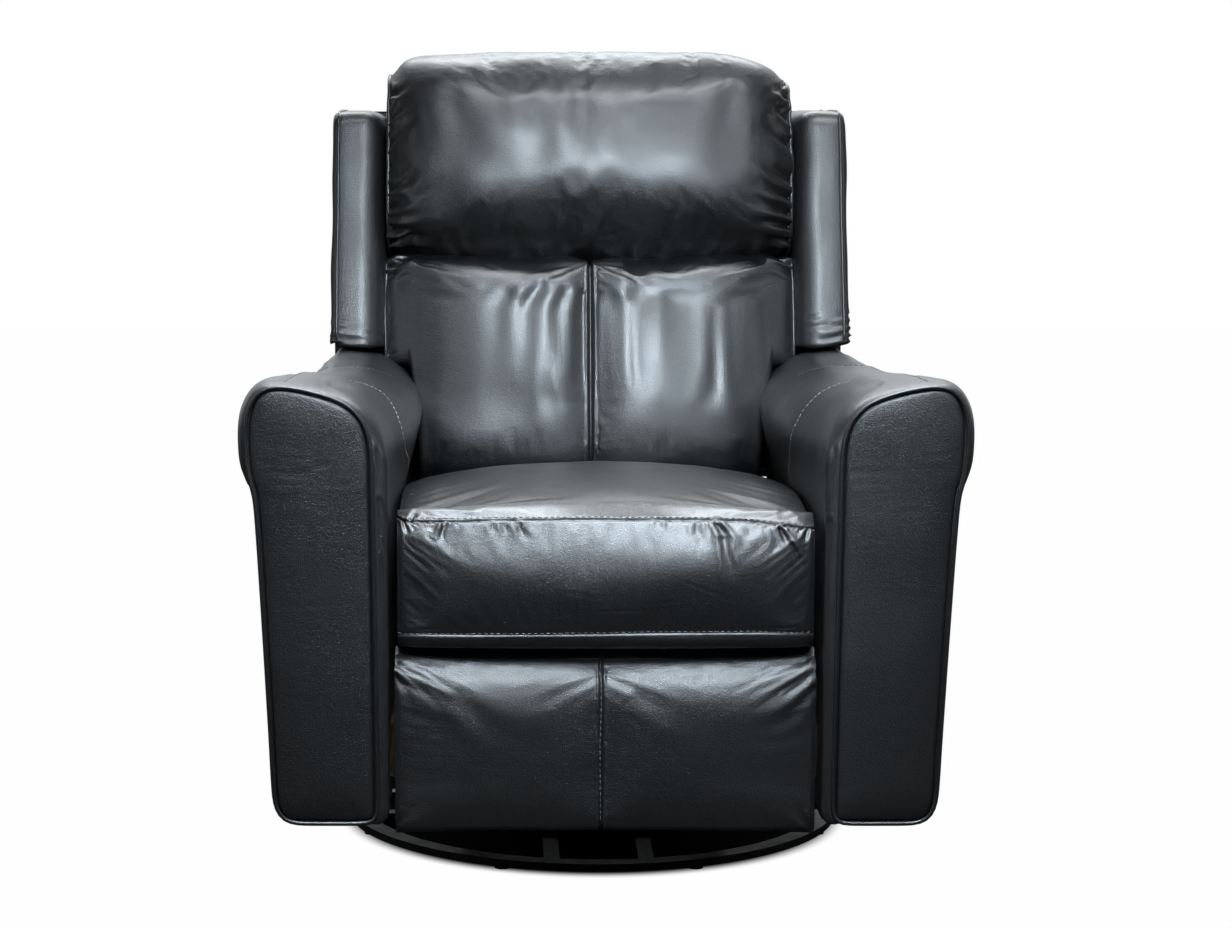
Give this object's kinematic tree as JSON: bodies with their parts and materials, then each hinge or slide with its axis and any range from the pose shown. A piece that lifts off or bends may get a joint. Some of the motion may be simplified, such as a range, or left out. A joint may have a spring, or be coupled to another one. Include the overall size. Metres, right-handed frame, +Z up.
{
  "type": "swivel glider recliner",
  "caption": "Black leather swivel glider recliner with padded wings and head pillow, on a round floor ring.",
  "frame": {"origin": "on the floor at the swivel axis, in the middle of the ring", "axes": "+Z up, the sitter faces -Y, +X to the right of a viewer who faces the chair"},
  "size_m": [0.8688, 0.9867, 1.037],
  "materials": {
    "leather": "satin",
    "leather_trim": "satin",
    "black_paint": "satin",
    "steel": "satin",
    "zinc": "satin",
    "wood": "matte",
    "rubber": "matte",
    "plastic": "satin"
  },
  "bodies": {
    "base": {"floor_ring": "black_paint", "cross_rails": "black_paint", "ring_pads": "rubber", "bearing_lower_race": "steel", "bearing_balls": "zinc", "kingpin": "zinc", "base_screws": "zinc"},
    "turntable": {"bearing_upper_race": "steel", "turntable_plate": "black_paint", "stand_cheeks": "black_paint", "turntable_bolts": "zinc"},
    "front_glide": {"front_glide_links": "steel", "front_glide_pins": "zinc"},
    "rear_glide": {"rear_glide_links": "steel", "rear_glide_pins": "zinc"},
    "carriage": {"glide_rails": "black_paint", "cross_tubes": "steel", "mechanism_plates": "steel", "base_rails": "wood", "arm_frame_left": "wood", "arm_frame_right": "wood", "arm_padding_left": "leather", "arm_padding_right": "leather", "arm_front_left": "leather", "arm_front_right": "leather", "arm_welt_left": "leather_trim", "arm_welt_right": "leather_trim", "release_bezel": "plastic", "release_cable": "plastic", "carriage_bolts": "zinc", "rear_skirt": "leather"},
    "release": {"release_paddle": "plastic"},
    "front_seat_link": {"front_seat_links": "steel", "front_seat_pins": "zinc"},
    "rear_seat_link": {"rear_seat_links": "steel", "rear_seat_pins": "zinc"},
    "seat": {"seat_side_plates": "steel", "seat_frame": "wood", "seat_springs": "steel", "seat_cushion": "leather", "seat_bolts": "zinc"},
    "tong_base_out": {"tong_base_outer": "steel"},
    "tong_base_in": {"tong_base_inner": "steel"},
    "tong_mid_out": {"tong_mid_outer": "steel"},
    "tong_mid_in": {"tong_mid_inner": "steel"},
    "tong_end_in": {"tong_end_inner": "steel"},
    "footrest": {"footrest_brackets": "steel", "footrest_board": "wood", "footrest_pad": "leather", "footrest_screws": "zinc"},
    "back": {"back_frame": "wood", "back_springs": "steel", "lumbar_cushion": "leather", "head_pillow": "leather", "back_wing_left": "leather", "back_wing_right": "leather", "outside_back": "leather", "back_hinge_plates": "steel", "back_bolts": "zinc"}
  },
  "joints": [
    {"name": "swivel", "type": "hinge", "parent": "base", "child": "turntable", "pos_m": [0, 0, 0.027], "axis": [0, 0, 1], "continuous": true},
    {"name": "glide", "type": "hinge", "parent": "turntable", "child": "front_glide", "pos_m": [0, -0.12, 0.175], "axis": [1, 0, 0], "range_deg": [-18, 18]},
    {"name": "glide_rear_link", "type": "hinge", "parent": "turntable", "child": "rear_glide", "pos_m": [0, 0.12, 0.175], "axis": [1, 0, 0], "range_deg": [-18, 18]},
    {"name": "glide_level", "type": "hinge", "parent": "front_glide", "child": "carriage", "pos_m": [0, -0.12, 0.075], "axis": [1, 0, 0], "range_deg": [-18, 18]},
    {"name": "release_pull", "type": "hinge", "parent": "carriage", "child": "release", "pos_m": [-0.36647, -0.23, 0.29], "axis": [0, 0, 1], "range_deg": [0, 28], "stiffness_Nm_per_rad": 0.03, "springref_deg": -17.19},
    {"name": "seat_front_link", "type": "hinge", "parent": "carriage", "child": "front_seat_link", "pos_m": [0, -0.26, 0.19], "axis": [1, 0, 0], "range_deg": [0, 30]},
    {"name": "seat_rear_link", "type": "hinge", "parent": "carriage", "child": "rear_seat_link", "pos_m": [0, 0.12, 0.19], "axis": [1, 0, 0], "range_deg": [0, 30]},
    {"name": "seat_level", "type": "hinge", "parent": "front_seat_link", "child": "seat", "pos_m": [0, -0.23929, 0.26727], "axis": [1, 0, 0], "range_deg": [-30, 0]},
    {"name": "back_recline", "type": "hinge", "parent": "seat", "child": "back", "pos_m": [0, 0.195, 0.345], "axis": [-1, 0, 0], "range_deg": [0, 36]},
    {"name": "footrest_open", "type": "hinge", "parent": "seat", "child": "tong_base_out", "pos_m": [0, -0.35, 0.284], "axis": [-1, 0, 0], "range_deg": [0, 72]},
    {"name": "tong_base_cross", "type": "hinge", "parent": "tong_base_out", "child": "tong_base_in", "pos_m": [0, -0.36813, 0.19075], "axis": [-1, 0, 0], "range_deg": [-144, 0]},
    {"name": "tong_mid_upper", "type": "hinge", "parent": "tong_base_in", "child": "tong_mid_out", "pos_m": [0, -0.36978, 0.28573], "axis": [-1, 0, 0], "range_deg": [0, 144]},
    {"name": "tong_mid_lower", "type": "hinge", "parent": "tong_base_out", "child": "tong_mid_in", "pos_m": [0, -0.38625, 0.09749], "axis": [-1, 0, 0], "range_deg": [-144, 0]},
    {"name": "tong_end_upper", "type": "hinge", "parent": "tong_mid_in", "child": "footrest", "pos_m": [0, -0.38957, 0.28746], "axis": [-1, 0, 0], "range_deg": [0, 144]},
    {"name": "tong_end_lower", "type": "hinge", "parent": "tong_mid_out", "child": "tong_end_in", "pos_m": [0, -0.40604, 0.09922], "axis": [-1, 0, 0], "range_deg": [-144, 0]}
  ],
  "couplings": [
    {"joint": "glide_rear_link", "follows": "glide", "ratio": 1},
    {"joint": "glide_level", "follows": "glide", "ratio": -1},
    {"joint": "seat_front_link", "follows": "back_recline", "ratio": 0.83333},
    {"joint": "seat_rear_link", "follows": "back_recline", "ratio": 0.83333},
    {"joint": "seat_level", "follows": "back_recline", "ratio": -0.83333},
    {"joint": "tong_base_cross", "follows": "footrest_open", "ratio": -2},
    {"joint": "tong_mid_upper", "follows": "footrest_open", "ratio": 2},
    {"joint": "tong_mid_lower", "follows": "footrest_open", "ratio": -2},
    {"joint": "tong_end_upper", "follows": "footrest_open", "ratio": 2},
    {"joint": "tong_end_lower", "follows": "footrest_open", "ratio": -2}
  ]
}
